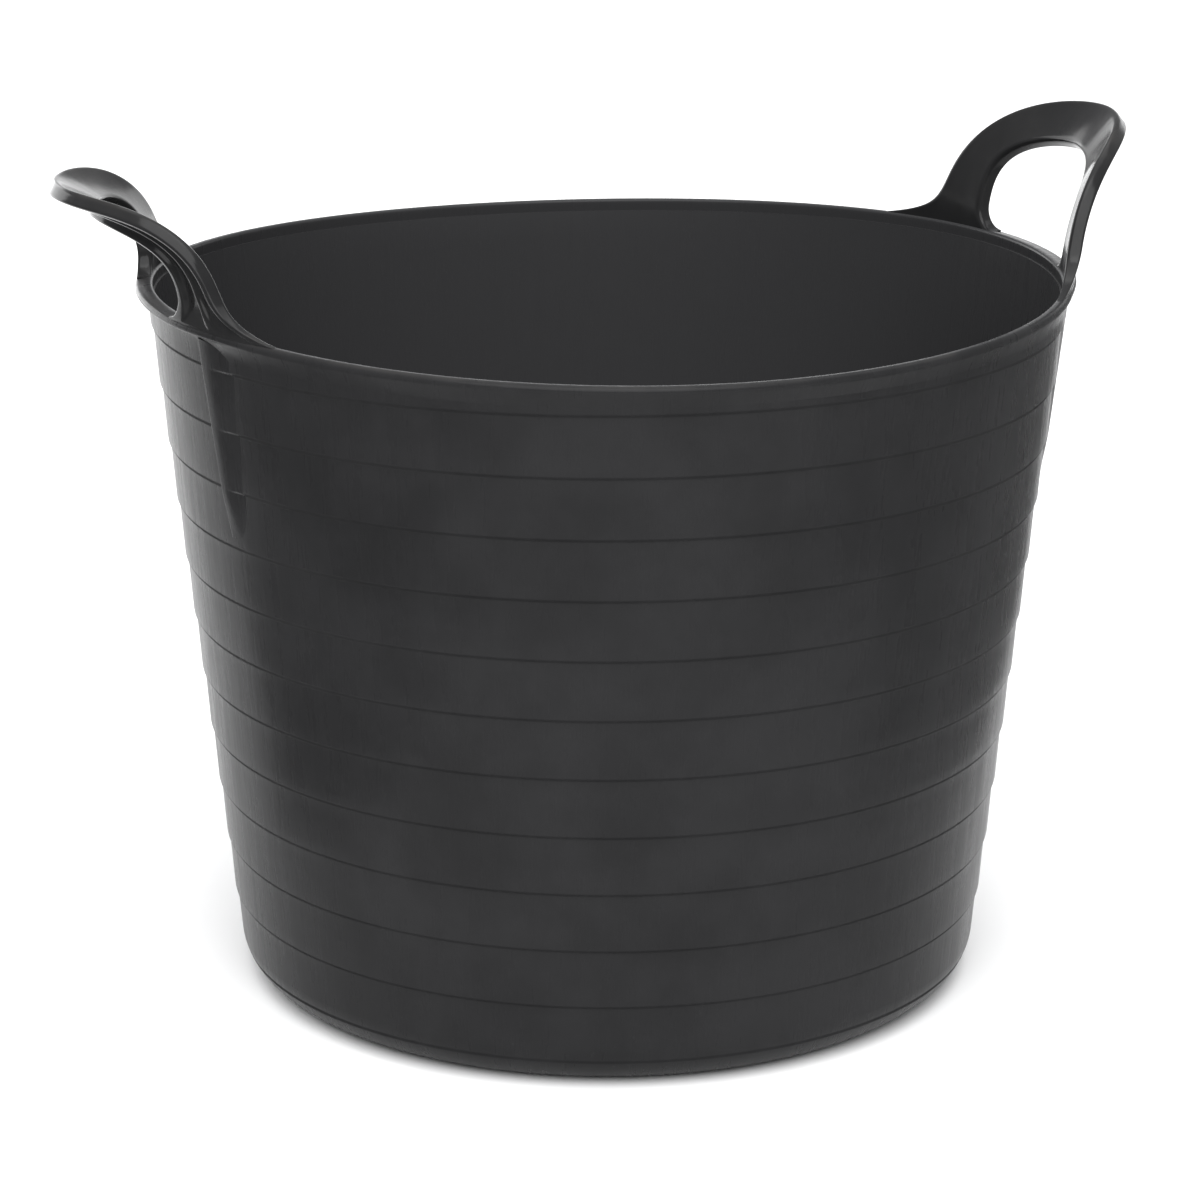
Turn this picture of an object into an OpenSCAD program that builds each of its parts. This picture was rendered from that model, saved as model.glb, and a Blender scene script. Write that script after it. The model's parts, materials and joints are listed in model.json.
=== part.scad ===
// Flexible two-handled tub for cut flowers. The whole tub is one moulding in soft polyethylene.
// Its nodes are the regions of that moulding, divided where the function changes or where it bends.
// +Z is up, the tub stands on Z = 0, and the two handles are on the X axis.

/* [Tub] */
// Height of the rim's top above the ground
rim_h = 347; // [300:1:380]
// Outer radius of the wall at the rim
rim_r = 222; // [200:1:240]
// Outer radius that the wall's slope would reach at the ground
base_r = 182.4; // [165:0.2:195]
// Thickness of the wall
wall_t = 3; // [2.4:0.1:4]
// Thickness of the floor
floor_t = 3.6; // [3:0.1:5]
// Radius of the rounded corner between floor and wall
heel_r = 22; // [18:1:28]
// How far the middle of the floor is raised, so that the tub stands on a ring
floor_rise = 3; // [1:0.5:5]

/* [Rings] */
// Number of steps round the wall; any that would fall into the rounded corner are left out
ring_count = 11; // [4:1:14]
// Distance from one step to the next
ring_pitch = 28.8; // [20:0.2:32]
// Distance from the rim's top to the first step
ring_first = 17; // [12:1:24]
// How far each band stands out over the band below it
ring_step = 1.2; // [0.6:0.1:2]

/* [Rim] */
// Height of the thick bead along the rim
bead_h = 6; // [4:0.5:8]
// How far the bead stands out from the wall
bead_out = 2.4; // [1.5:0.1:4]
// How far the lip under each finger opening stands out from the wall
lip_out = 5.6; // [5:0.1:8]
// Radius of the roll along the lip's edge
lip_roll = 1.9; // [1.4:0.1:2.2]

/* [Handles] */
// Height of the left handle's outer edge above the rim, measured along its curve
left_arch_h = 78; // [72:1:90]
// Height of the right handle's outer edge above the rim
right_arch_h = 82; // [72:1:90]
// Half of the handle's width between its outer edges
arch_half_w = 89; // [80:1:95]
// Height of the finger opening as a share of the handle's
gap_share = 0.683; // [0.62:0.005:0.7]
// Half of the finger opening's width
gap_half_w = 57; // [50:1:60]
// Outward lean of the left handle's tip, in degrees from upright
left_lean = 62; // [30:1:66]
// Outward lean of the right handle's tip
right_lean = 48; // [30:1:66]
// Depth of the ribs along the handle's edges
edge_rib = 7; // [5:0.5:9]
// Depth of the rib along the middle of the handle
mid_rib = 5.4; // [4:0.2:7]
// Thickness of the handle between its ribs
handle_t = 3.4; // [2.6:0.1:4.5]

/* [Handle roots] */
// Height above the rim where the bending root ends and the handle proper starts
root_h = 18; // [14:1:22]
// Spread of each root along the rim
root_foot = 37; // [25:1:45]
// Radius of the finger opening's lower corners
root_corner = 12; // [8:1:14]
// Angle from the handle's middle to the inner edge of the reinforcing strap below a root
strap_angle = 17.4; // [16:0.1:20]
// Angle that a strap spans
strap_width = 7.6; // [5:0.1:10]
// Number of steps that a strap covers
strap_rings = 3; // [2:1:5]
// How far a strap stands out from the wall
strap_out = 1.9; // [1.3:0.1:3]

/* [Hidden] */
$fn = 144;

body_colour = [0.22, 0.22, 0.23];
inner_colour = [0.26, 0.26, 0.27];
handle_colour = [0.18, 0.18, 0.19];

slope = (rim_r - base_r) / rim_h;
slope_angle = atan(slope);
bead_z = rim_h - bead_h;

// How far the rim's top swings up at the handles and down between them.
rim_wave = 3;
// Radius of a handle's inner face at the rim.
handle_in = rim_r - 2;

// Height of the sloping tread at each step of the wall, and the least height below the lowest.
tread_h = 0.4;
lowest_band_h = 1;
// The floor stands on a ring of this width, and rises to its middle over a ramp.
foot_ring_w = 18;
foot_ramp_w = 30;

// The heel's inner face starts to curve this many degrees below the wall.
heel_ease = 6;

// Rounding of the bead's outer and inner edges, and the chamfer under it.
bead_round = 2;
bead_inner_round = 1.5;
bead_chamfer = 1.2;
// How far the bead stands in from the wall's inner face.
bead_in = 0.2;
// Chamfer along the lip's inner edge, across and down.
lip_edge_w = 1;
lip_edge_h = 0.6;
// The lip ends this far short of the roots beside it.
lip_end_gap = 0.8;
lip_half_angle = (gap_half_w - root_corner - lip_end_gap) / rim_r * 180 / PI;

// A strap starts just above a step, and grows to its full thickness over this height.
strap_gap = 0.5;
strap_taper = 8;

// Shape of the arch's two edges: how round its shoulders are, and how quickly its feet spread.
arch_shoulder = 1.07;
foot_sharpness = 14;
gap_shoulder = 1.25;
gap_side = 0.46;

// Each handle stands straight up to this height and bends above it, most at the start.
left_bend_from = 7;
right_bend_from = 0;
left_bend_ease = 1.09;
right_bend_ease = 0.49;
left_form = [left_arch_h, left_lean, left_bend_from, left_bend_ease];
right_form = [right_arch_h, right_lean, right_bend_from, right_bend_ease];
// The lean eases to the sides of a handle by this share over this distance from its middle.
side_ease = 0.34;
side_reach = 70;
bend_steps = 8;

arch_rings = 56;
root_rings = 7;
// How much thinner a root is at the far end of its foot than at the finger opening.
foot_taper = 0.6;
// Up to this height above the rim the hollows between a root's ribs fill out.
fill_h = 10;

// Chamfer along the handle's edges.
edge_cut = 1;
// The handle's section from its finger side (0) to its outer edge (1):
// [place across, depth of the inner face, depth of the outer face]
section = [
    [0, edge_cut, edge_rib - edge_cut], [0.03, 0, edge_rib], [0.13, 0, edge_rib], [0.17, 0, handle_t],
    [0.43, 0, handle_t], [0.46, 0, mid_rib], [0.54, 0, mid_rib], [0.57, 0, handle_t],
    [0.83, 0, handle_t], [0.87, 0, edge_rib], [0.97, 0, edge_rib], [1, edge_cut, edge_rib - edge_cut]
];

// ---- Profiles of revolution ----

function wall_r(z) = base_r + slope * z;
function step_z(k) = rim_h - ring_first - ring_pitch * k;

// The heel's arc touches the ground and the wall's outer line.
heel_top = heel_r * (1 - sin(slope_angle));
heel_centre_r = wall_r(heel_r) - heel_r / cos(slope_angle);

function arc(centre, radius, from, to, steps) = [
    for (i = [0 : steps])
        centre + radius * [cos(from + (to - from) * i / steps), sin(from + (to - from) * i / steps)]
];

// Outer line of the wall, upward: each band's lower edge stands out, its upper edge stands in.
function wall_line(k_low, z_low, z_high) = concat(
    [[wall_r(z_low), z_low]],
    [
        for (k = [k_low : -1 : 0])
            if (step_z(k) > z_low + lowest_band_h)
                for (side = [-1, 1])
                    [wall_r(step_z(k)) + side * ring_step / 2, step_z(k) + (side > 0 ? tread_h : 0)]
    ],
    [[wall_r(z_high), z_high]]
);

module wall_profile() {
    polygon(concat(
        wall_line(ring_count - 1, heel_top, bead_z),
        [[wall_r(bead_z) - wall_t, bead_z], [wall_r(heel_top) - wall_t, heel_top]]
    ));
}

module bead_profile() {
    outer = rim_r + bead_out;
    inner = rim_r - wall_t - bead_in;
    outer_centre = [outer - bead_round, rim_h - bead_round];
    inner_centre = [inner + bead_inner_round, rim_h - bead_inner_round];
    polygon(concat(
        [[inner, bead_z], [outer - bead_chamfer, bead_z], [outer, bead_z + bead_chamfer]],
        arc(outer_centre, bead_round, 0, 90, 6),
        arc(inner_centre, bead_inner_round, 90, 180, 4)
    ));
}

// The lip lies on the bead and ends in a roll.
module lip_profile() {
    top = rim_h + rim_wave;
    difference() {
        polygon(concat(
            arc([rim_r + lip_out - lip_roll, top - lip_roll], lip_roll, 90, -120, 14),
            [[rim_r + bead_out, rim_h], [handle_in, rim_h]],
            [[handle_in, top - lip_edge_h], [handle_in + lip_edge_w, top]]
        ));
        translate([0, bead_z])
            square([rim_r + bead_out, bead_h]);
    }
}

// ---- Base and wall ----

module floor() {
    foot_r = heel_centre_r - foot_ring_w;
    ramp_r = foot_r - foot_ramp_w;
    color(inner_colour)
        rotate_extrude()
            polygon([
                [0, floor_rise], [ramp_r, floor_rise], [foot_r, 0], [heel_centre_r, 0],
                [heel_centre_r, floor_t], [foot_r, floor_t],
                [ramp_r, floor_rise + floor_t], [0, floor_rise + floor_t]
            ]);
}

module heel() {
    centre = [heel_centre_r, heel_r];
    color(body_colour)
        rotate_extrude()
            polygon(concat(
                arc(centre, heel_r, -90, -slope_angle, 14),
                [[wall_r(heel_top) - wall_t, heel_top]],
                arc(centre, heel_r - floor_t, -slope_angle - heel_ease, -90, 12)
            ));
}

module wall() {
    color(body_colour)
        rotate_extrude()
            wall_profile();
}

module rim_bead() {
    color(body_colour)
        rotate_extrude()
            bead_profile();
}

// ---- Straps and lips: sectors of revolution ----

// A strap from the angle given, counted round the tub.
module strap(from) {
    z_low = step_z(strap_rings) + strap_gap;
    z_full = z_low + strap_taper;
    color(body_colour)
        rotate([0, 0, from])
            rotate_extrude(angle = strap_width)
                difference() {
                    polygon([
                        [wall_r(z_low) - ring_step, z_low],
                        [wall_r(z_low) + ring_step / 2, z_low],
                        [wall_r(z_full) + strap_out, z_full],
                        [wall_r(bead_z) + strap_out, bead_z],
                        [wall_r(bead_z) - ring_step, bead_z]
                    ]);
                    wall_profile();
                }
}

module lip(middle) {
    color(handle_colour)
        rotate([0, 0, middle - lip_half_angle])
            rotate_extrude(angle = 2 * lip_half_angle)
                lip_profile();
}

// ---- Handles ----

// Lean of the handle from upright, in degrees, t along the rim and s up the handle. A handle's
// form is [height, lean of its tip, height where the bend starts, ease of the bend].
function side_factor(t) = 1 - side_ease * min(pow(t / side_reach, 2), 2);
function lean_at(t, s, form) =
    let (x = max(s - form[2], 0) / (form[0] - form[2]))
    form[1] * side_factor(t) * ((1 + form[3]) * x - form[3] * x * x);

// Distance gained outward and upward along the bent height s, summed over short steps.
function sum(list, i = 0) = i < len(list) ? list[i] + sum(list, i + 1) : 0;
function bend_places(s) = [for (i = [0 : bend_steps - 1]) s * (i + 0.5) / bend_steps];
function gained_out(t, s, form) =
    sum([for (place = bend_places(s)) sin(lean_at(t, place, form))]) * s / bend_steps;
function gained_up(t, s, form) =
    sum([for (place = bend_places(s)) cos(lean_at(t, place, form))]) * s / bend_steps;

// A point of the right handle: t along the rim, s up the handle, depth out from its inner face.
function handle_point(t, s, depth, form) =
    let (
        angle = t / rim_r * 180 / PI,
        tilt = lean_at(t, s, form),
        r = handle_in + gained_out(t, s, form) + depth * cos(tilt),
        z = rim_h + rim_wave * cos(2 * angle) + gained_up(t, s, form) - depth * sin(tilt)
    )
    [r * cos(angle), r * sin(angle), max(z, rim_h)];

// The arch's edges at u degrees along them: 0 and 180 at the rim, 90 at the top of an arch of
// height high. [t, s]
function outer_edge(u, high) = [
    sign(cos(u)) * (arch_half_w * pow(abs(cos(u)), arch_shoulder)
        + root_foot * pow(1 - sin(u), foot_sharpness)),
    high * sin(u)
];
function gap_edge(u, high) = [
    sign(cos(u)) * gap_half_w * pow(abs(cos(u)), gap_shoulder),
    gap_share * high * pow(sin(u), gap_side)
];
function outer_u(s, high) = asin(max(s, 0) / high);
function gap_u(s, high) = asin(pow(max(s, 0) / (gap_share * high), 1 / gap_side));
function corner_in(s) =
    let (h = root_corner - min(max(s, 0), root_corner))
    root_corner - sqrt(root_corner * root_corner - h * h);

// One ring of the section, from the finger-side edge a to the outer edge b: inner face, then
// back. The back gets shallower toward b by the share foot, and its hollows are filled by the
// share fill.
function ring(a, b, form, foot, fill) = [
    for (back = [0, 1])
        for (i = [0 : len(section) - 1])
            let (
                p = section[back > 0 ? len(section) - 1 - i : i],
                behind = (p[2] + max(edge_rib - edge_cut - p[2], 0) * fill) * (1 - foot * p[0]),
                depth = back > 0 ? behind : p[1]
            )
            handle_point(a[0] + (b[0] - a[0]) * p[0], a[1] + (b[1] - a[1]) * p[0], depth, form)
];

function arch_ring(i, form) =
    let (
        f = i / arch_rings,
        start_a = gap_u(root_h, form[0]),
        start_b = outer_u(root_h, form[0]),
        ua = start_a + (180 - 2 * start_a) * f,
        ub = start_b + (180 - 2 * start_b) * f
    )
    ring(gap_edge(ua, form[0]), outer_edge(ub, form[0]), form, 0, 0);

function root_ring(j, form) =
    let (
        s = -rim_wave + (root_h + rim_wave) * j / root_rings,
        a = [gap_edge(gap_u(s, form[0]), form[0])[0] - corner_in(s), s],
        b = [outer_edge(outer_u(s, form[0]), form[0])[0], s],
        foot = foot_taper * pow(1 - j / root_rings, 2)
    )
    ring(a, b, form, foot, pow(1 - min(max(s, 0) / fill_h, 1), 2));

// Skins the rings: quads between neighbours as two triangles, and strips over both ends.
module skin(rings) {
    n = len(rings[0]);
    half = n / 2;
    last = (len(rings) - 1) * n;
    sides = [
        for (i = [0 : len(rings) - 2])
            for (k = [0 : n - 1])
                let (a = i * n + k, b = i * n + (k + 1) % n)
                for (face = [[a, b, b + n], [a, b + n, a + n]])
                    face
    ];
    ends = [
        for (k = [0 : half - 2])
            let (q = [k, k + 1, n - 2 - k, n - 1 - k])
            for (face = [[q[0], q[2], q[1]], [q[0], q[3], q[2]],
                [last + q[0], last + q[1], last + q[2]], [last + q[0], last + q[2], last + q[3]]])
                face
    ];
    polyhedron(points = [for (r = rings) for (p = r) p], faces = concat(sides, ends), convexity = 6);
}

module handle(form) {
    color(handle_colour)
        skin([for (i = [0 : arch_rings]) arch_ring(i, form)]);
}

// The root on the +Y side of the right handle.
module root(form) {
    color(handle_colour)
        skin([for (j = [0 : root_rings]) root_ring(j, form)]);
}

// ---- Nodes ----

module left_front_strap() { strap(180 + strap_angle); }
module left_back_strap() { strap(180 - strap_angle - strap_width); }
module right_front_strap() { strap(-strap_angle - strap_width); }
module right_back_strap() { strap(strap_angle); }
module left_lip() { lip(180); }
module right_lip() { lip(0); }
module left_front_root() { rotate([0, 0, 180]) root(left_form); }
module left_back_root() { mirror([1, 0, 0]) root(left_form); }
module right_front_root() { mirror([0, 1, 0]) root(right_form); }
module right_back_root() { root(right_form); }
module left_handle() { rotate([0, 0, 180]) handle(left_form); }
module right_handle() { handle(right_form); }

floor();
heel();
wall();
rim_bead();
left_front_strap();
left_back_strap();
right_front_strap();
right_back_strap();
left_lip();
right_lip();
left_front_root();
left_back_root();
right_front_root();
right_back_root();
left_handle();
right_handle();
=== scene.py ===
import json
import math

import bmesh
import bpy
import numpy as np
from mathutils import Matrix, Vector


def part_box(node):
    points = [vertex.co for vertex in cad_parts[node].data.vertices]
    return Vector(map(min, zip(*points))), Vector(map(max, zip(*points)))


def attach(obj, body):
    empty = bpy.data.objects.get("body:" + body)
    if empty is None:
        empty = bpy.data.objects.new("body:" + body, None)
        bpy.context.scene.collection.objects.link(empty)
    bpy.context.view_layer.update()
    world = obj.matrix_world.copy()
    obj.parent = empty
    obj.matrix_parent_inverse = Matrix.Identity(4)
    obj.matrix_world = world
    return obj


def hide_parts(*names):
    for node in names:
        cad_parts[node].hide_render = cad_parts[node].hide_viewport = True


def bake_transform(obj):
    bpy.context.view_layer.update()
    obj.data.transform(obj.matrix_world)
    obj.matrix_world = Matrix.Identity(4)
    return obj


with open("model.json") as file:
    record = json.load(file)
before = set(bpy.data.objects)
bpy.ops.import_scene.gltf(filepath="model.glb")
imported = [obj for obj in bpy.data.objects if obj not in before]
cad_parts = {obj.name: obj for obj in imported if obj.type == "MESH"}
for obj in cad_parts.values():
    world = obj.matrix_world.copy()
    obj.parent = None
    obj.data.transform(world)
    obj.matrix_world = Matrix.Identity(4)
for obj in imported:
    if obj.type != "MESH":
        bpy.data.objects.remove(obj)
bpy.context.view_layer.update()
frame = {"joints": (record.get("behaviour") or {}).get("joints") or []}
scene = bpy.context.scene

# ---- Sizes from the frame ----

bead_low, bead_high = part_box("rim_bead")
heel_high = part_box("heel")[1]
floor_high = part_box("floor")[1]

BEAD_OUT = 0.0024                       # the bead stands out this far from the wall
RIM_Z = bead_high.z
RIM_R = bead_high.x - BEAD_OUT
BEAD_Z = bead_low.z
BEAD_H = RIM_Z - BEAD_Z
HEEL_Z = heel_high.z
HEEL_CENTRE_R = floor_high.x
SLOPE = (RIM_R - heel_high.x) / (RIM_Z - HEEL_Z)
SLOPE_ANGLE = math.atan(SLOPE)

# ---- Sizes of the moulding ----

WALL_T = 0.003
FLOOR_T = 0.0036
HEEL_RADIUS = 0.022
FLOOR_RISE = 0.003                      # how far the floor's middle is raised
FOOT_RING_W = 0.018                     # width of the ring that the tub stands on
FOOT_RAMP_W = 0.030                     # width of the ramp from that ring to the raised middle
GATE_R, GATE_H = 0.004, 0.0012          # the moulding gate mark below the floor
DISH_R, DISH_DEPTH = 0.030, 0.0006      # the shallow dish on top of it
AXIS_R = 0.0002                         # the floor's outline ends this close to the axis

RING_COUNT = 11
RING_PITCH = 0.0288
RING_FIRST = 0.017                      # from the rim's top to the first step
RING_STEP = 0.0012                      # how far a step stands out
RING_TREAD = 0.0011                     # and its height
RING_ROUND = 0.0009                     # rounding of its two corners
INSIDE_PAINTED_LIGHT = 1.70                      # painted light: how much paler the wall's inner face is painted, for the shade inside the tub
SCUFF_TOP = 0.06                        # height below which the tub is scuffed
STEP_SHADE_PAINT = 0.12                       # painted shade: how much darker the wall is painted in the corners of its steps

RIM_WAVE = 0.003                        # the rim rises at the handles and dips between them
RIM_INNER_ROUND = 0.0015                # rounding of its inner top edge
BEAD_ROUND = 0.0026                     # rounding of the bead's outer side
BEAD_SIDE_LOW = 0.0034                  # its side starts to turn in this far above its underside
BEAD_TURN = 28                          # and turns this far, in degrees
BEAD_COVE = 0.0030                      # the hollow below it bends this far under its underside
SKIRT_START = 0.0055                    # the rim follows the wall from this far below the bead
SKIRT_END = 0.0007                      # down to this far above the first step
SKIRT_PROUD = 0.00005                   # standing this far proud of it
SKIRT_TUCK = 0.0012                     # and its end turns into the wall by this much
LIP_OUT = 0.0056
LIP_T = 0.0036
LIP_DROOP = 0.0006                      # how far its edge hangs below the rim's top
LIP_ROOT_H = 0.0044                     # depth at which its underside meets the wall
LIP_HALF = 0.045                        # half length of the full lip, along the rim
LIP_FADE = 0.112                        # where the lip has faded into the bead

STRAP_START = math.radians(17.4)        # from the handle's middle to a strap's near edge
STRAP_WIDTH = math.radians(7.6)
STRAP_NARROWING = math.radians(1.6)     # how much each side edge closes in at the lower end
STRAP_OUT = 0.0017
STRAP_EDGE = 0.0010                     # rounding of its near edge
STRAP_EDGE_POINTS = 6
STRAP_RUN_OUT = 0.30                    # share of its height over which its lower end fades out
STRAP_BURIED = 0.0012                   # depth of its sides in the wall
STRAP_SOFT = 0.85                       # share of its width over which its far side fades out
STRAP_SINK = 0.0001                     # to this far below the wall's face
STRAP_RINGS = 3

# ---- Sizes of the handles ----

HANDLE_IN = RIM_R - 0.002
ARCH_HALF_W, GAP_HALF_W = 0.089, 0.057
GAP_SHARE = 0.683                       # height of the finger opening, as a share of the handle's
ARCH_SHOULDER, FOOT_SHARPNESS = 1.07, 14
GAP_SHOULDER, GAP_SIDE = 1.25, 0.46
ROOT_H, ROOT_FOOT, ROOT_CORNER = 0.018, 0.037, 0.012
EDGE_RIB, MID_RIB, HANDLE_T = 0.007, 0.0054, 0.0034
EDGE_RIB_W = 0.13                       # share of the arm's width that an edge rib takes
MID_RIB_HALF_W = 0.04                   # and half of the middle rib
RIB_SLANT = 0.03                        # and a rib's sloping side
GRIP_ROUND = 0.0026                     # rounding of the smooth face's two edges
FORMS = {                               # height, lean of the tip, start of the bend, its ease
    "left": (0.078, math.radians(62), 0.007, 1.09),
    "right": (0.082, math.radians(48), 0.0, 0.49),
}
SIDE_EASE = 0.34                        # an arm leans less than the middle by this share
SIDE_REACH = 0.070                      # at this distance from the middle, along the rim
BEND_STEPS = 12
FILL_H = 0.011                          # up to here the hollows between the ribs fill out
FOOT_TAPER = 0.62                       # a root is thinner by this share at the end of its foot

AROUND = 360                            # steps round the tub
ROOT_ROWS, ARCH_ROWS = 26, 148          # sections of a handle's root and of its arch

# ---- Looks ----

TUB_BLACK = (0.0188, 0.0188, 0.0195)
STRAP_BLACK = (0.0180, 0.0180, 0.0187)
HANDLE_BLACK = (0.0168, 0.0168, 0.0172)
DUST = (0.075, 0.070, 0.064)
# colour of the painted shade in the corners of the wall's steps
STEP_SHADE_COLOUR = (0.004, 0.004, 0.004)


# ---- Meshes ----

def mesh_object(name, verts, faces):
    """A closed mesh with outward normals, smooth except at its hidden square edges."""
    work = bmesh.new()
    made = [work.verts.new(v) for v in verts]
    for face in faces:
        work.faces.new([made[i] for i in face])
    bmesh.ops.remove_doubles(work, verts=work.verts, dist=1e-6)
    bmesh.ops.triangulate(work, faces=[f for f in work.faces if len(f.verts) > 4])
    bmesh.ops.recalc_face_normals(work, faces=work.faces)
    mesh = bpy.data.meshes.new(name)
    work.to_mesh(mesh)
    work.free()
    mesh.shade_smooth()
    mesh.set_sharp_from_angle(angle=math.radians(50))
    rest = mesh.attributes.new("rest", "FLOAT_VECTOR", "POINT")
    places = np.zeros(len(mesh.vertices) * 3, np.float32)
    mesh.vertices.foreach_get("co", places)
    rest.data.foreach_set("vector", places)
    piece = bpy.data.objects.new(name, mesh)
    scene.collection.objects.link(piece)
    return piece


def loft(name, rings, closed):
    """Skins rings of points. A closed loft joins its last ring to its first. An open one is
    capped."""
    count, size = len(rings), len(rings[0])
    faces = []
    for i in range(count if closed else count - 1):
        a, b = i * size, (i + 1) % count * size
        faces += [[a + k, a + (k + 1) % size, b + (k + 1) % size, b + k] for k in range(size)]
    if not closed:
        faces += [list(range(size))[::-1], [(count - 1) * size + k for k in range(size)]]
    return mesh_object(name, np.concatenate(rings), faces)


def revolve(name, outline_at):
    """A piece of the tub: outline_at(angle) gives its closed outline of (r, z) there."""
    rings = []
    for angle in np.linspace(0, 2 * math.pi, AROUND, endpoint=False):
        outline = outline_at(angle)
        r, z = outline[:, 0], outline[:, 1]
        rings.append(np.stack([r * math.cos(angle), r * math.sin(angle), z], -1))
    return loft(name, rings, closed=True)


def rounded(corners, steps):
    """A closed outline with each corner (x, y, radius, cuts) rounded in steps, and the side after
    it cut."""
    points, count = [], len(corners)
    ends = []
    for i, (x, y, radius, cuts) in enumerate(corners):
        here = np.array([x, y])
        back = np.array(corners[i - 1][:2]) - here
        ahead = np.array(corners[(i + 1) % count][:2]) - here
        reach = min(radius, 0.45 * np.linalg.norm(back), 0.45 * np.linalg.norm(ahead))
        start = here + back / np.linalg.norm(back) * reach
        end = here + ahead / np.linalg.norm(ahead) * reach
        ends.append((start, here, end, cuts))
    for i, (start, here, end, cuts) in enumerate(ends):
        for f in np.linspace(0, 1, steps + 1):
            points.append((1 - f) ** 2 * start + 2 * f * (1 - f) * here + f * f * end)
        following = ends[(i + 1) % count][0]
        for f in np.linspace(0, 1, cuts + 1)[1:-1]:
            points.append(end + (following - end) * f)
    return np.array(points)


def arc(centre, radius, start, end, steps):
    """Points along an arc, its angles in degrees."""
    turn = np.radians(np.linspace(start, end, steps + 1))
    return np.stack([centre[0] + radius * np.cos(turn), centre[1] + radius * np.sin(turn)], -1)


def curve(start, bend, end, steps):
    """Points along a curve from start to end that leaves and arrives in line with bend."""
    start, bend, end = np.array(start), np.array(bend), np.array(end)
    f = np.linspace(0, 1, steps + 1)[:, None]
    return (1 - f) ** 2 * start + 2 * f * (1 - f) * bend + f * f * end


def smoothstep(x, start, end):
    """Smooth rise from 0 at start to 1 at end."""
    f = np.clip((x - start) / (end - start), 0, 1)
    return f * f * (3 - 2 * f)


# ---- Tub ----

def wall_r(z):
    """Mean outer radius of the wall at a height."""
    return RIM_R + SLOPE * (z - RIM_Z)


def step_z(k):
    """Height of the foot of step k, counted down from the rim."""
    return RIM_Z - RING_FIRST - RING_PITCH * k


def wave(angle):
    """How far the rim rises there."""
    return RIM_WAVE * math.cos(2 * angle)


def handle_arc(angle):
    """Distance along the rim to the middle of the nearer handle."""
    return abs(math.asin(math.sin(angle))) * RIM_R


def wall_corners():
    """Corners of the wall's stepped face, upward, as (r, z)."""
    corners = [(wall_r(HEEL_Z), HEEL_Z)]
    for k in reversed(range(RING_COUNT)):
        middle, low = wall_r(step_z(k)), step_z(k)
        corners += [(middle - RING_STEP / 2, low), (middle + RING_STEP / 2, low + RING_TREAD)]
    return corners + [(wall_r(BEAD_Z), BEAD_Z)]


def wall_outline():
    """Closed outline of the wall: its stepped face upward, and its plain inner face."""
    face = wall_corners()
    corners = [(r, z, RING_ROUND, 1 if i % 2 else 5) for i, (r, z) in enumerate(face)]
    corners[0] = (*face[0], 0, 5)
    corners[-1] = (*face[-1], 0, 1)
    corners.append((wall_r(BEAD_Z) - WALL_T, BEAD_Z, 0, 40))
    corners.append((wall_r(HEEL_Z) - WALL_T, HEEL_Z, 0, 1))
    return rounded(corners, 3)


def make_wall():
    outline = wall_outline()
    first_step = step_z(0) + RING_TREAD

    def at(angle):
        shaped = outline.copy()
        shaped[:, 1] += wave(angle) * smoothstep(outline[:, 1], first_step, BEAD_Z)
        return shaped

    return revolve("wall_shell", at)


def make_heel():
    """The rounded corner, which thins out from the floor's thickness to the wall's."""
    centre = (HEEL_CENTRE_R, HEEL_RADIUS)
    slope, thinning = math.degrees(SLOPE_ANGLE), 6
    outer = arc(centre, HEEL_RADIUS, -90, -slope, 24)
    inner = arc(centre, HEEL_RADIUS - FLOOR_T, -slope - thinning, -90, 20)
    top = np.array([[wall_r(HEEL_Z) - WALL_T, HEEL_Z]])
    outline = np.concatenate([outer, top, inner])
    return revolve("heel_corner", lambda angle: outline)


def make_floor():
    """The floor panel: raised in its middle, with a gate mark below and a shallow dish above."""
    foot = HEEL_CENTRE_R - FOOT_RING_W
    ramp = foot - FOOT_RAMP_W
    top = FLOOR_RISE + FLOOR_T
    gate_low, dish_low = FLOOR_RISE - GATE_H, top - DISH_DEPTH
    gate_slant, dish_slant = 0.0006, 0.002
    ramp_round, foot_round, dish_round = 0.012, 0.010, 0.001
    corners = [
        (AXIS_R, gate_low, 0, 1), (GATE_R, gate_low, 0.0006, 1),
        (GATE_R + gate_slant, FLOOR_RISE, 0.0005, 10), (ramp, FLOOR_RISE, ramp_round, 4),
        (foot, 0, foot_round, 4), (HEEL_CENTRE_R, 0, 0, 1), (HEEL_CENTRE_R, FLOOR_T, 0, 4),
        (foot, FLOOR_T, foot_round, 4), (ramp, top, ramp_round, 10),
        (DISH_R + dish_slant, top, dish_round, 1), (DISH_R, dish_low, dish_round, 4),
        (AXIS_R, dish_low, 0, 1),
    ]
    outline = rounded(corners, 5)
    return revolve("floor_panel", lambda angle: outline)


def rim_inside(top):
    """The rim's inner face, upward, and the rounded edge at its top."""
    inner, low, edge = RIM_R - WALL_T, top - BEAD_H, RIM_INNER_ROUND
    face = [[inner, low], [inner, low + edge], [inner, top - 2 * edge]]
    return np.concatenate([face, arc((inner + edge, top - edge), edge, 180, 90, 6)])


def rim_skirt(top):
    """Where the rim runs out on the wall above its first step, downward, and turns into it."""
    first = step_z(0) + RING_TREAD
    face_r, face_z = np.array(wall_corners()).T
    z = np.linspace(BEAD_Z - SKIRT_START, first + SKIRT_END, 8)
    r = np.interp(z, face_z, face_r) + SKIRT_PROUD
    z_there = z + (top - RIM_Z) * smoothstep(z, first, BEAD_Z)
    in_wall = RIM_R - 0.0016
    inside = [[r[-1] - SKIRT_TUCK, z_there[-1]], [in_wall, top - BEAD_H]]
    return np.concatenate([np.stack([r, z_there], -1), inside])


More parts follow.
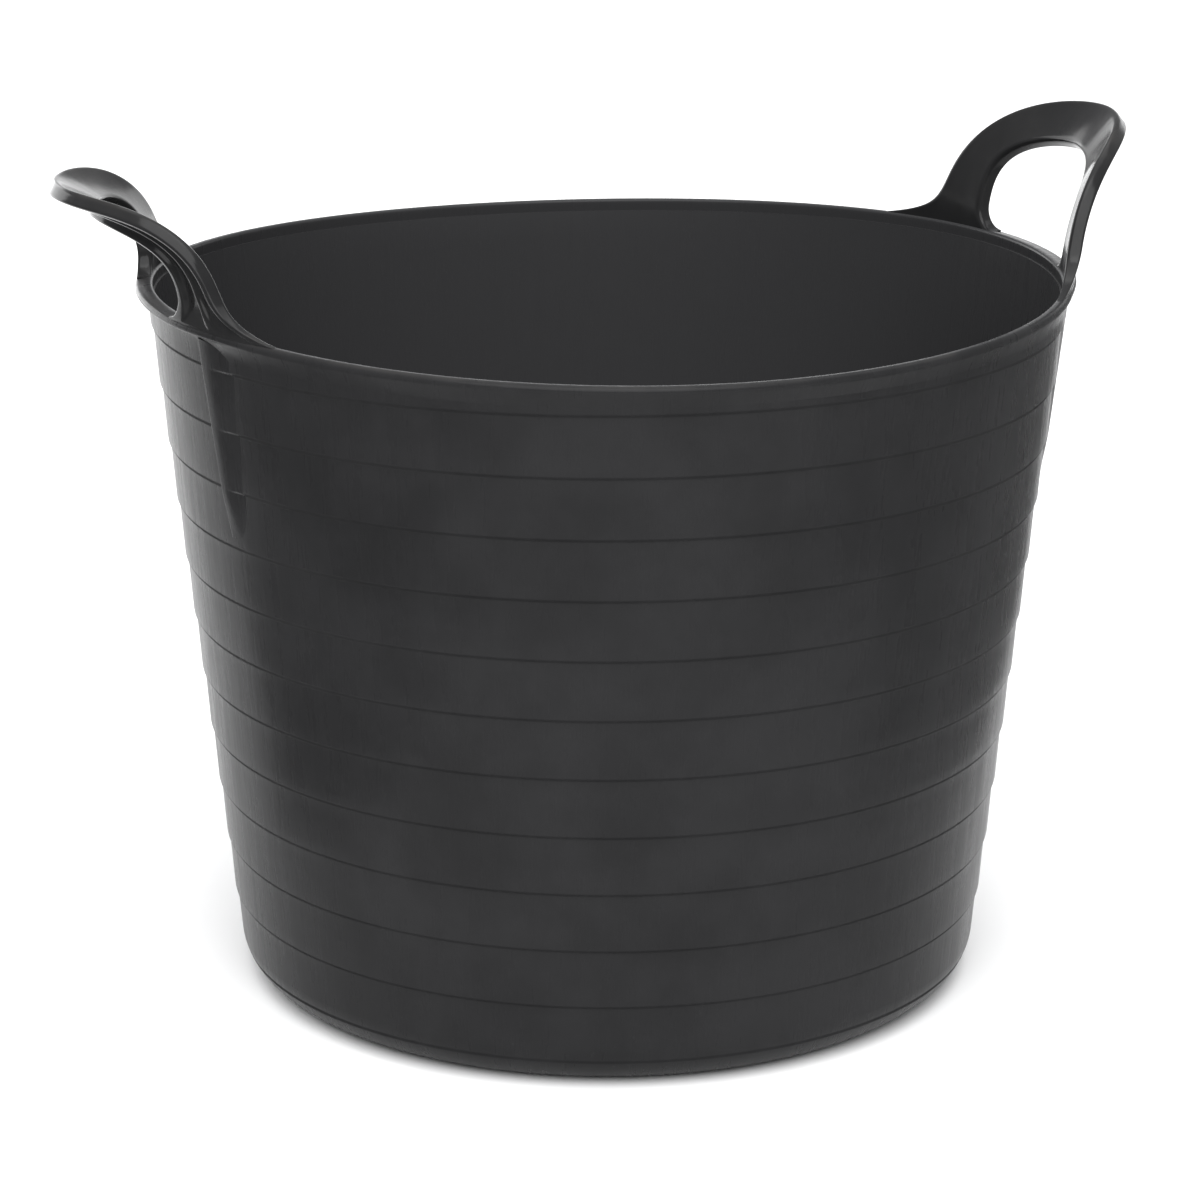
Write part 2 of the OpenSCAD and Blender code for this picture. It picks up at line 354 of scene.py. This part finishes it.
def bead_outline(top):
    """The rim's plain bead, from the inner face's foot over the top and out onto the wall."""
    centre_r, low = RIM_R + BEAD_OUT - BEAD_ROUND, top - BEAD_H
    above = arc((centre_r, top - BEAD_ROUND), BEAD_ROUND, 90, 0, 14)
    below = arc((centre_r, low + BEAD_SIDE_LOW), BEAD_ROUND, 0, -BEAD_TURN, 6)
    skirt = rim_skirt(top)
    cove = curve(below[-1], (wall_r(BEAD_Z) + 0.0001, low - BEAD_COVE), skirt[0], 10)
    return np.concatenate([rim_inside(top), above, below, cove[1:], skirt[1:]])


def lip_outline(top):
    """The rim drawn outward into a thin flange, with as many points as the bead's outline."""
    half = LIP_T / 2
    tip = np.array([RIM_R + LIP_OUT - half, top - LIP_DROOP - half])
    across = np.linspace([RIM_R - 0.0005, top], tip + np.array([-0.0006, half]), 5)
    under = np.linspace(tip + np.array([-0.0010, -half]), [RIM_R + 0.0012, top - LIP_ROOT_H], 4)
    skirt = rim_skirt(top)
    fillet = curve(under[-1], (RIM_R + 0.0001, top - LIP_ROOT_H - 0.0004), skirt[0], 6)
    return np.concatenate([
        rim_inside(top), across, arc(tip, half, 80, 0, 9), arc(tip, half, -12, -95, 6),
        under, fillet[1:], skirt[1:],
    ])


def make_rim():
    """The rim: a bead that widens into a lip below each handle."""
    def at(angle):
        top = RIM_Z + wave(angle)
        lip = 1 - smoothstep(handle_arc(angle), LIP_HALF, LIP_FADE)
        return (1 - lip) * bead_outline(top) + lip * lip_outline(top)

    return revolve("rolled_rim", at)


def make_strap(name, side, end):
    """A smooth strap that thickens the wall below a handle root. side and end are +1 or -1."""
    low, high = step_z(STRAP_RINGS) + RING_TREAD, BEAD_Z
    face_r, face_z = np.array(wall_corners()).T
    around_step = np.linspace(-0.001, 0.002, 11)
    near_steps = [step_z(k) + d for k in range(STRAP_RINGS) for d in around_step]
    edge = np.radians(np.linspace(0, 90, STRAP_EDGE_POINTS))
    edge_across = STRAP_EDGE * (1 - np.cos(edge)) / (STRAP_WIDTH * RIM_R)
    across = np.concatenate([[0], edge_across, np.linspace(0.08, 1, 24), [1]])
    fade = 1 - smoothstep(across, 1 - STRAP_SOFT, 1)
    rows = []
    for z in np.sort(np.concatenate([np.linspace(low, high, 48), near_steps])):
        f = (z - low) / (high - low)
        narrow = STRAP_NARROWING * (1 - f)
        face = np.interp(z, face_z, face_r) - wall_r(z) - STRAP_SINK
        out = face + (STRAP_OUT - face) * smoothstep(f, 0, STRAP_RUN_OUT)
        depth = out * fade + face * (1 - fade)
        depth[0] = depth[-1] = -STRAP_BURIED
        depth[1:STRAP_EDGE_POINTS + 1] = out - STRAP_EDGE * (1 - np.sin(edge))
        turn = STRAP_START + narrow + across * (STRAP_WIDTH - 2 * narrow)
        r = wall_r(z) + depth
        x, y = r * np.cos(turn), r * np.sin(turn)
        top = z + RIM_WAVE * np.cos(2 * turn) * smoothstep(z, step_z(0), BEAD_Z)
        rows.append(np.stack([x * side, y * end, top], -1))
    return loft(name, rows, closed=False)


# ---- Handles ----

def lean_at(t, s, form):
    """Lean from upright, t along the rim and s up the handle."""
    high, lean, bend_from, ease = form
    side = 1 - SIDE_EASE * np.minimum((t / SIDE_REACH) ** 2, 2)
    x = np.maximum(s - bend_from, 0) / (high - bend_from)
    return lean * side * ((1 + ease) * x - ease * x * x)


def handle_points(t, s, depth, form):
    """Points of the right handle: t along the rim, s up it, depth out from its inner face."""
    places = s[:, None] * (np.arange(BEND_STEPS) + 0.5) / BEND_STEPS
    leans = lean_at(t[:, None], places, form)
    tilt, angle = lean_at(t, s, form), t / RIM_R
    r = HANDLE_IN + np.sin(leans).mean(1) * s + depth * np.cos(tilt)
    z = RIM_Z + RIM_WAVE * np.cos(2 * angle) + np.cos(leans).mean(1) * s - depth * np.sin(tilt)
    return np.stack([r * np.cos(angle), r * np.sin(angle), z], -1)


def outer_edge(u, high):
    """Point of the handle's outer edge, u from 0 at one foot to pi at the other."""
    along = ARCH_HALF_W * abs(math.cos(u)) ** ARCH_SHOULDER
    along += ROOT_FOOT * (1 - math.sin(u)) ** FOOT_SHARPNESS
    return np.array([math.copysign(along, math.cos(u)), high * math.sin(u)])


def gap_edge(u, high):
    """Point of the finger opening's edge, u as for outer_edge."""
    along = GAP_HALF_W * abs(math.cos(u)) ** GAP_SHOULDER
    up = GAP_SHARE * high * math.sin(u) ** GAP_SIDE
    return np.array([math.copysign(along, math.cos(u)), up])


def outer_u(s, high):
    return math.asin(max(s, 0) / high)


def gap_u(s, high):
    return math.asin((max(s, 0) / (GAP_SHARE * high)) ** (1 / GAP_SIDE))


def corner_in(s):
    """How far the opening's lower corner is rounded in at height s."""
    h = ROOT_CORNER - min(max(s, 0), ROOT_CORNER)
    return ROOT_CORNER - math.sqrt(ROOT_CORNER ** 2 - h * h)


def handle_section(width, foot, fill):
    """Closed outline (across, depth): smooth inner face, ribs along both edges and the middle.
    Its back gets shallower across it by the share foot, and fill fills the hollows."""
    def deep(across, depth):
        return (depth + (EDGE_RIB - depth) * fill) * (1 - foot * across) if depth else 0

    edge, edge_foot = EDGE_RIB_W, EDGE_RIB_W + RIB_SLANT
    mid, mid_foot = MID_RIB_HALF_W, MID_RIB_HALF_W + RIB_SLANT
    wide, narrow, tight = 0.0012, 0.0010, 0.0008
    face = [(0, 0, GRIP_ROUND, 18), (1, 0, GRIP_ROUND, 3)]
    ribs = [
        (1, EDGE_RIB, wide, 2), (1 - edge, EDGE_RIB, narrow, 1),
        (1 - edge_foot, HANDLE_T, wide, 5), (0.5 + mid_foot, HANDLE_T, narrow, 1),
        (0.5 + mid, MID_RIB, tight, 1), (0.5 - mid, MID_RIB, tight, 1),
        (0.5 - mid_foot, HANDLE_T, narrow, 5), (edge_foot, HANDLE_T, wide, 1),
        (edge, EDGE_RIB, narrow, 2), (0, EDGE_RIB, wide, 3),
    ]
    corners = [(x * width, deep(x, y), r, cuts) for x, y, r, cuts in face + ribs]
    return rounded(corners, 4)


def handle_ring(a, b, form, foot, fill):
    """One section of the handle, from its edge at a to its edge at b."""
    width = np.linalg.norm(b - a)
    section = handle_section(width, foot, fill)
    place = a + (b - a) * section[:, :1] / width
    return handle_points(place[:, 0], place[:, 1], section[:, 1], form)


def root_edges(high):
    """Edges of the root on the +Y side, from inside the rim up to where the arch starts."""
    rows, in_rim = [], (-0.004, -0.002)
    for s in (*in_rim, *(ROOT_H * np.linspace(0, 1, ROOT_ROWS) ** 1.6)):
        a = np.array([gap_edge(gap_u(s, high), high)[0] - corner_in(s), s])
        b = np.array([outer_edge(outer_u(s, high), high)[0], s])
        foot = FOOT_TAPER * (1 - max(s, 0) / ROOT_H) ** 2
        rows.append((a, b, foot, (1 - min(max(s, 0) / FILL_H, 1)) ** 2))
    return rows


def arch_edges(high):
    """Edges of the arch between the two roots."""
    rows = []
    start_a, start_b = gap_u(ROOT_H, high), outer_u(ROOT_H, high)
    for f in np.linspace(0, 1, ARCH_ROWS + 2)[1:-1]:
        a = gap_edge(start_a + (math.pi - 2 * start_a) * f, high)
        b = outer_edge(start_b + (math.pi - 2 * start_b) * f, high)
        rows.append((a, b, 0, 0))
    return rows


def make_handle(name, side):
    """A handle with both of its roots, all one skin."""
    form = FORMS[side]
    back = root_edges(form[0])
    mirror = np.array([-1, 1])
    front = [(a * mirror, b * mirror, foot, fill) for a, b, foot, fill in reversed(back)]
    rows = back + arch_edges(form[0]) + front
    rings = [handle_ring(a, b, form, foot, fill) for a, b, foot, fill in rows]
    if side == "left":
        rings = [ring * np.array([-1, -1, 1]) for ring in rings]
    return loft(name, rings, closed=False)


# ---- Materials ----

class Nodes:
    """Short calls for building a node tree."""

    def __init__(self, material):
        self.tree = material.node_tree
        self.tree.nodes.clear()

    def add(self, kind, **values):
        node = self.tree.nodes.new(kind)
        for key, value in values.items():
            setattr(node, key, value)
        return node

    def link(self, source, target):
        self.tree.links.new(source, target)

    def maths(self, operation, a, b=0.0):
        node = self.add("ShaderNodeMath", operation=operation)
        for socket, value in zip(node.inputs, (a, b)):
            if isinstance(value, (int, float)):
                socket.default_value = value
            else:
                self.link(value, socket)
        return node.outputs[0]

    def noise(self, vector, scale, detail, roughness=0.5):
        node = self.add("ShaderNodeTexNoise")
        node.inputs["Scale"].default_value = scale
        node.inputs["Detail"].default_value = detail
        node.inputs["Roughness"].default_value = roughness
        self.link(vector, node.inputs["Vector"])
        return node.outputs[0]

    def spread(self, value, low, high, to_low=0.0, to_high=1.0):
        """Smooth map of value from low..high to to_low..to_high."""
        node = self.add("ShaderNodeMapRange", interpolation_type="SMOOTHSTEP")
        self.link(value, node.inputs["Value"])
        for name, number in zip(("From Min", "From Max", "To Min", "To Max"),
                                (low, high, to_low, to_high)):
            node.inputs[name].default_value = number
        return node.outputs[0]

    def mix(self, factor, a, b):
        node = self.add("ShaderNodeMix", data_type="RGBA")
        self.link(factor, node.inputs["Factor"])
        for socket, value in ((node.inputs[6], a), (node.inputs[7], b)):
            if isinstance(value, tuple):
                socket.default_value = (*value, 1)
            else:
                self.link(value, socket)
        return node.outputs[2]

    def bump(self, height, distance, strength, normal=None):
        node = self.add("ShaderNodeBump")
        node.inputs["Distance"].default_value = distance
        node.inputs["Strength"].default_value = strength
        self.link(height, node.inputs["Height"])
        if normal is not None:
            self.link(normal, node.inputs["Normal"])
        return node.outputs[0]

    def split(self, vector):
        node = self.add("ShaderNodeSeparateXYZ")
        self.link(vector, node.inputs[0])
        return node.outputs

    def matt(self, colour):
        """A dull surface of that colour, as the material's output."""
        shader = self.add("ShaderNodeBsdfPrincipled")
        shader.inputs["Roughness"].default_value = 0.9
        shader.inputs["Specular IOR Level"].default_value = 0.0
        self.link(colour, shader.inputs["Base Color"])
        self.output(shader)

    def output(self, shader):
        output = self.add("ShaderNodeOutputMaterial")
        self.link(shader.outputs[0], output.inputs["Surface"])


def new_material(name):
    """A new material and its empty node tree."""
    material = bpy.data.materials.new(name)
    material.use_nodes = True
    return material, Nodes(material)


def plastic(name, base, gloss, specular, of_tub=False):
    """Satin black polyethylene: mottled, with fine grain and scuffs. The tub's is painted paler
    inside as painted light, and has flow streaks and painted shade in the corners of the wall's
    steps."""
    material, n = new_material(name)
    place = n.add("ShaderNodeAttribute", attribute_name="rest").outputs["Vector"]
    height = n.split(place)[2]

    flat = n.add("ShaderNodeVectorMath", operation="MULTIPLY")
    n.link(place, flat.inputs[0])
    flat.inputs[1].default_value = (1, 1, 0)
    unit = n.add("ShaderNodeVectorMath", operation="NORMALIZE")
    n.link(flat.outputs[0], unit.inputs[0])
    parts = n.split(unit.outputs[0])
    around = n.add("ShaderNodeCombineXYZ")
    n.link(parts[0], around.inputs[0])
    n.link(parts[1], around.inputs[1])
    n.link(n.maths("MULTIPLY", height, 0.55), around.inputs[2])
    streaks = n.noise(around.outputs[0], scale=34, detail=4.0, roughness=0.62)

    mottle = n.noise(place, scale=16, detail=4.0, roughness=0.6)
    grain = n.noise(place, scale=1500, detail=2.0, roughness=0.6)
    ripple = n.noise(place, scale=55, detail=2.0, roughness=0.45)

    scratches = n.noise(place, scale=190, detail=6.0, roughness=0.75)
    low_down = n.spread(height, SCUFF_TOP, 0.0)
    scuffs = n.maths("MULTIPLY", n.spread(scratches, 0.60, 0.74), low_down)

    normal = n.add("ShaderNodeNewGeometry").outputs["Normal"]
    facing_up = n.spread(n.split(normal)[2], 0.35, 1.0)
    dust = n.maths("MULTIPLY", facing_up, n.spread(mottle, 0.42, 0.70))

    outward = n.add("ShaderNodeVectorMath", operation="DOT_PRODUCT")
    n.link(normal, outward.inputs[0])
    n.link(unit.outputs[0], outward.inputs[1])
    outside = n.spread(outward.outputs["Value"], -0.2, 0.2)

    dark = tuple(c * 0.86 for c in base)
    light = tuple(c * 1.16 for c in base)
    colour = n.mix(n.spread(mottle, 0.30, 0.70), dark, light)
    colour = n.mix(n.maths("MULTIPLY", scuffs, 0.35), colour, tuple(c * 3.0 for c in base))
    colour = n.mix(n.maths("MULTIPLY", dust, 0.22), colour, DUST)

    if of_tub:
        # painted shade: a mask of the corners of the wall's steps, where shade falls; it also
        # roughens the plastic there
        steps = n.maths("SUBTRACT", step_z(RING_COUNT - 1), height)
        steps = n.maths("DIVIDE", steps, -RING_PITCH)
        from_step = n.maths("FRACT", n.maths("ADD", steps, 0.5))
        from_step = n.maths("MULTIPLY", from_step, RING_PITCH)
        from_step = n.maths("SUBTRACT", from_step, RING_PITCH / 2 + RING_TREAD / 2)
        below_rim = n.spread(height, step_z(0) + RING_PITCH / 2, step_z(0))
        step_shade = n.spread(n.maths("ABSOLUTE", from_step), 1.3 * RING_TREAD, 0.3 * RING_TREAD)
        step_shade = n.maths("MULTIPLY", step_shade, below_rim)
        step_shade = n.maths("MULTIPLY", step_shade, outside)
        # painted shade: the step corners are painted darker
        colour = n.mix(n.maths("MULTIPLY", step_shade, STEP_SHADE_PAINT), colour, STEP_SHADE_COLOUR)
        # painted light: the inner face is painted paler than the outer face, for the shade inside
        # the tub
        colour = n.mix(outside, tuple(c * INSIDE_PAINTED_LIGHT for c in base), colour)

    rough = n.spread(streaks, 0.25, 0.75, gloss - 0.035, gloss + 0.045)
    if of_tub:
        rough = n.maths("ADD", rough, n.maths("MULTIPLY", step_shade, 0.60))
    rough = n.maths("ADD", rough, n.maths("MULTIPLY", scuffs, 0.16))
    rough = n.maths("ADD", rough, n.maths("MULTIPLY", dust, 0.07))

    shape = n.bump(ripple, distance=0.00022, strength=0.55)
    if of_tub:
        shape = n.bump(streaks, distance=0.00030, strength=0.40, normal=shape)
    shape = n.bump(grain, distance=0.00003, strength=0.15, normal=shape)

    shader = n.add("ShaderNodeBsdfPrincipled")
    shader.inputs["IOR"].default_value = 1.5
    shader.inputs["Specular IOR Level"].default_value = specular
    n.link(colour, shader.inputs["Base Color"])
    n.link(rough, shader.inputs["Roughness"])
    n.link(shape, shader.inputs["Normal"])
    n.output(shader)
    return material


def floor_material():
    material, n = new_material("studio_floor")
    place = n.add("ShaderNodeTexCoord").outputs["Object"]
    n.matt(n.mix(n.noise(place, scale=0.8, detail=2.0), (0.89, 0.89, 0.89), (0.92, 0.92, 0.92)))
    return material


def card_material(name, near, grey_from):
    """Grey, and paler towards its near end, so that its reflection has no edge there."""
    material, n = new_material(name)
    place = n.add("ShaderNodeTexCoord").outputs["Object"]
    mottle = n.noise(place, scale=40, detail=3.0)
    grey = n.mix(mottle, (0.29, 0.29, 0.29), (0.34, 0.34, 0.34))
    along = n.add("ShaderNodeVectorMath", operation="DOT_PRODUCT")
    n.link(place, along.inputs[0])
    along.inputs[1].default_value = forward_flat
    paler = n.spread(along.outputs["Value"], grey_from, near)
    n.matt(n.mix(paler, grey, (0.90, 0.90, 0.90)))
    return material


# ---- Pieces ----

def finish_piece(piece, material, slot, *nodes):
    piece.data.materials.append(material)
    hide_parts(*nodes)


def build_bucket():
    tub_plastic = plastic("tub_plastic", TUB_BLACK, gloss=0.28, specular=0.085, of_tub=True)
    strap_plastic = plastic("strap_plastic", STRAP_BLACK, gloss=0.27, specular=0.085)
    handle_plastic = plastic("handle_plastic", HANDLE_BLACK, gloss=0.15, specular=0.13)

    tub = [
        (make_floor(), tub_plastic, ["floor"]),
        (make_heel(), tub_plastic, ["heel"]),
        (make_wall(), tub_plastic, ["wall"]),
        (make_rim(), tub_plastic, ["rim_bead", "left_lip", "right_lip"]),
    ]
    for side, x in (("left", -1), ("right", 1)):
        for end, y in (("front", -1), ("back", 1)):
            name = f"{side}_{end}_strap"
            tub.append((make_strap(f"{name}_pad", x, y), strap_plastic, [name]))
    for piece, material, nodes in tub:
        finish_piece(piece, material, "tub_plastic", *nodes)
        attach(piece, "tub")

    for side in ("left", "right"):
        piece = make_handle(f"{side}_handle_loop", side)
        finish_piece(piece, handle_plastic, "handle_plastic",
                     f"{side}_handle", f"{side}_front_root", f"{side}_back_root")
        joint = next(j for j in frame["joints"] if j["name"] == f"{side}_handle_flex")
        x, y, z = joint["pos_m"]
        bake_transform(piece)


# ---- Studio ----

CAMERA_TURN = math.radians(15.7)        # the camera stands this far round to the left of -Y
CAMERA_PITCH = math.radians(16.41)
CAMERA_PLACE = Vector((-0.4971, -1.7553, 0.7207))
CAMERA_LENS, CAMERA_SENSOR = 114.8, 36
CARD_H = 0.42                           # height of the two grey cards

forward_flat = Vector((math.sin(CAMERA_TURN), math.cos(CAMERA_TURN), 0))
right_flat = Vector((math.cos(CAMERA_TURN), -math.sin(CAMERA_TURN), 0))


def make_camera():
    data = bpy.data.cameras.new("camera")
    data.lens = CAMERA_LENS
    data.sensor_width = CAMERA_SENSOR
    camera = bpy.data.objects.new("camera", data)
    scene.collection.objects.link(camera)
    forward = forward_flat * math.cos(CAMERA_PITCH) - Vector((0, 0, math.sin(CAMERA_PITCH)))
    up = right_flat.cross(forward)
    turned = Matrix((right_flat, up, -forward)).transposed()
    camera.matrix_world = Matrix.Translation(CAMERA_PLACE) @ turned.to_4x4()
    scene.camera = camera


def stage_quad(name, corners, material):
    """A flat four-cornered piece of the studio."""
    mesh = bpy.data.meshes.new(name)
    mesh.from_pydata(corners, [], [(0, 1, 2, 3)])
    mesh.materials.append(material)
    quad = bpy.data.objects.new(name, mesh)
    scene.collection.objects.link(quad)
    return quad


def make_floor_and_world():
    reach, gap = 12, 0.0004
    corners = [(-reach, -reach, 0), (reach, -reach, 0), (reach, reach, 0), (-reach, reach, 0)]
    stage_quad("studio_floor", corners, floor_material()).location.z = -gap
    world = bpy.data.worlds.new("studio")
    scene.world = world
    world.use_nodes = True
    background = world.node_tree.nodes["Background"]
    background.inputs["Color"].default_value = (0.97, 0.98, 1.0, 1)
    background.inputs["Strength"].default_value = 0.42


def make_grey_card(name, right, near, far, grey_from):
    """A grey card beside the tub, which only reflections show. near and far are the places of its
    ends behind the tub's axis, and it fades out from grey_from to its near end."""
    corner, end = studio_point(right, near, 0), studio_point(right, far, 0)
    rise = Vector((0, 0, CARD_H))
    corners = [corner, end, end + rise, corner + rise]
    card = stage_quad(name, corners, card_material(name, near, grey_from))
    card.visible_camera = card.visible_diffuse = card.visible_shadow = False


def soft_light(name, place, target, width, height, radiance):
    """A soft rectangle of light of that radiance, aimed at target."""
    data = bpy.data.lights.new(name, "AREA")
    data.shape = "RECTANGLE"
    data.size, data.size_y = width, height
    data.energy = radiance * width * height * math.pi
    lamp = bpy.data.objects.new(name, data)
    scene.collection.objects.link(lamp)
    lamp.location = place
    lamp.rotation_euler = (Vector(target) - Vector(place)).to_track_quat("-Z", "Y").to_euler()
    lamp.visible_camera = False


def studio_point(right, forward, up):
    """A place by its distance to the camera's right, away from the camera, and up."""
    return right_flat * right + forward_flat * forward + Vector((0, 0, up))


def broad_light(name, place, spread, strength):
    """Even soft light from far away in the direction of place."""
    data = bpy.data.lights.new(name, "SUN")
    data.angle = math.radians(spread)
    data.energy = strength * math.pi
    lamp = bpy.data.objects.new(name, data)
    scene.collection.objects.link(lamp)
    lamp.rotation_euler = (-Vector(place)).to_track_quat("-Z", "Y").to_euler()


def make_lights():
    middle = (0, 0, 0.2)
    broad_light("front_top", studio_point(0.0, -1.0, 1.3), 60, 1.14)
    soft_light("overhead", studio_point(0.2, 0.3, 2.6), middle, 2.6, 2.6, 1.7)
    soft_light("left_back", studio_point(-1.5, 1.7, 0.65), middle, 1.7, 1.3, 3.0)
    soft_light("backdrop", studio_point(0.0, 5.2, 0.75), (0, 0, 0.75), 7.0, 1.5, 1.4)
    soft_light("right_back", studio_point(1.5, 2.2, 0.7), middle, 0.4, 1.3, 0.8)


scene.view_settings.view_transform = "Standard"
make_camera()
make_floor_and_world()
make_grey_card("right_card", 0.42, -0.45, 0.55, 0.20)
make_grey_card("left_card", -0.37, -0.75, -0.03, -0.25)
make_lights()
build_bucket()
